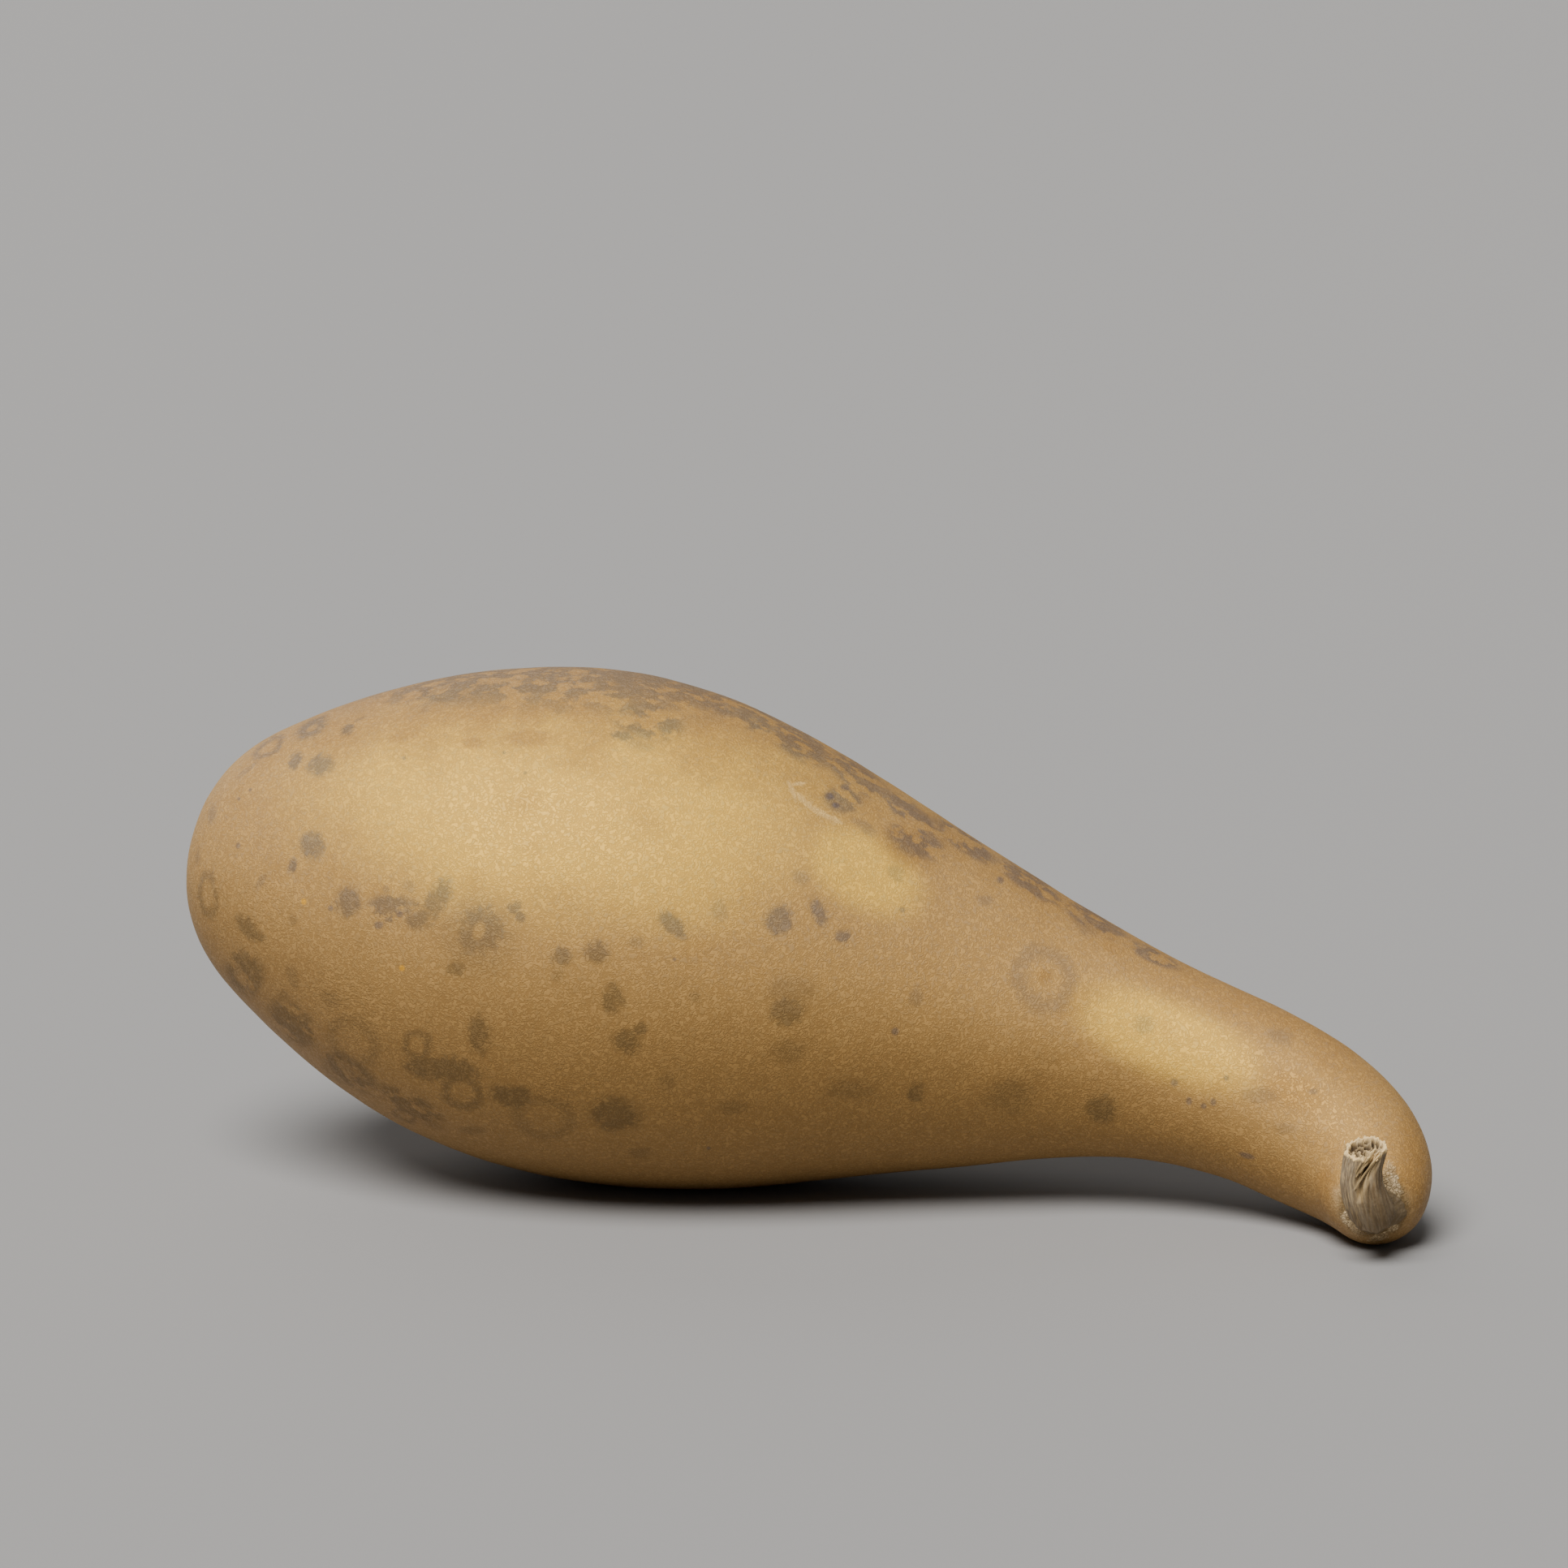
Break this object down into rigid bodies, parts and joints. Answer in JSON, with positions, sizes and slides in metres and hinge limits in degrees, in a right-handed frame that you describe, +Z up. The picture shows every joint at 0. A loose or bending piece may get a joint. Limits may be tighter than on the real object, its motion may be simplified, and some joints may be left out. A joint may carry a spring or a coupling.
{
  "type": "dried bottle gourd",
  "caption": "Dried bottle gourd with a round belly, a long neck curving to the front and a stub of dried stem, lying on its belly.",
  "frame": {"origin": "middle of the bounding box, on the surface that the gourd lies on", "axes": "+X from the blossom end towards the neck, -Y towards the side that the stem and the picture's viewer are on, +Z up"},
  "size_m": [0.2968, 0.1518, 0.1254],
  "materials": {
    "gourd_skin": "dry, hard, leathery skin with a soft satin sheen and grey-brown mould stains",
    "corky_stem": "dry, matt, ribbed and fibrous"
  },
  "bodies": {
    "root": {"gourd_body": "gourd_skin", "dried_stem": "corky_stem"}
  },
  "joints": []
}
